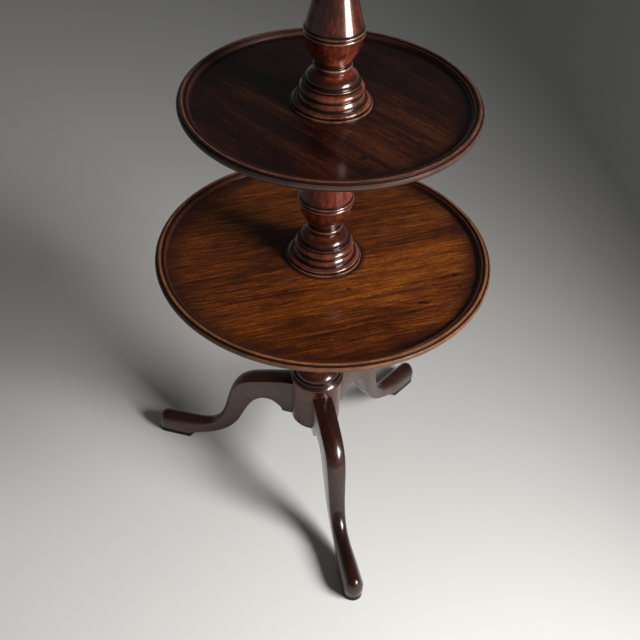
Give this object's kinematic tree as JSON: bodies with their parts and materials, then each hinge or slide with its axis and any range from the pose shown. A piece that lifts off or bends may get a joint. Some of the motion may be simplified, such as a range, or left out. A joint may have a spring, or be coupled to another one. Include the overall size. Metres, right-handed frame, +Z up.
{
  "type": "dumbwaiter table",
  "caption": "Tall dumbwaiter table: dished round trays, wider towards the floor, turn on a turned column that stands on cabriole legs with slipper feet.",
  "frame": {"origin": "on the floor, at the middle of the table's bounding box", "axes": "+Z up along the column, -Y along the front leg"},
  "size_m": [0.6096, 0.6542, 1.206],
  "materials": {
    "tray_wood": "polished mahogany",
    "stem_wood": "polished dark mahogany",
    "leg_wood": "polished dark mahogany",
    "bearer_wood": "bare, waxed where it turns",
    "pad_wood": "blackened",
    "iron": "dull forged"
  },
  "bodies": {
    "stand": {"lower_column": "stem_wood", "middle_stem": "stem_wood", "upper_stem": "stem_wood", "leg_front": "leg_wood", "leg_left": "leg_wood", "leg_right": "leg_wood", "foot_pad_front": "pad_wood", "foot_pad_left": "pad_wood", "foot_pad_right": "pad_wood", "leg_brace": "iron", "brace_screw_1": "iron", "brace_screw_2": "iron", "brace_screw_3": "iron", "brace_screw_4": "iron", "brace_screw_5": "iron", "brace_screw_6": "iron"},
    "lower_turntable": {"lower_tray": "tray_wood", "lower_bearer": "bearer_wood", "lower_bearer_screw_1": "iron", "lower_bearer_screw_2": "iron", "lower_bearer_screw_3": "iron", "lower_bearer_screw_4": "iron"},
    "middle_turntable": {"middle_tray": "tray_wood", "middle_bearer": "bearer_wood", "middle_bearer_screw_1": "iron", "middle_bearer_screw_2": "iron", "middle_bearer_screw_3": "iron", "middle_bearer_screw_4": "iron"},
    "top_turntable": {"top_tray": "tray_wood", "top_bearer": "bearer_wood", "top_bearer_screw_1": "iron", "top_bearer_screw_2": "iron", "top_bearer_screw_3": "iron", "top_bearer_screw_4": "iron"}
  },
  "joints": [
    {"name": "lower_tray_spin", "type": "hinge", "parent": "stand", "child": "lower_turntable", "pos_m": [0.00477, 0.0271, 0.5499], "axis": [0, 0, 1], "continuous": true},
    {"name": "middle_tray_spin", "type": "hinge", "parent": "stand", "child": "middle_turntable", "pos_m": [0.00477, 0.0271, 0.8599], "axis": [0, 0, 1], "continuous": true},
    {"name": "top_tray_spin", "type": "hinge", "parent": "stand", "child": "top_turntable", "pos_m": [0.00477, 0.0271, 1.1699], "axis": [0, 0, 1], "continuous": true}
  ]
}
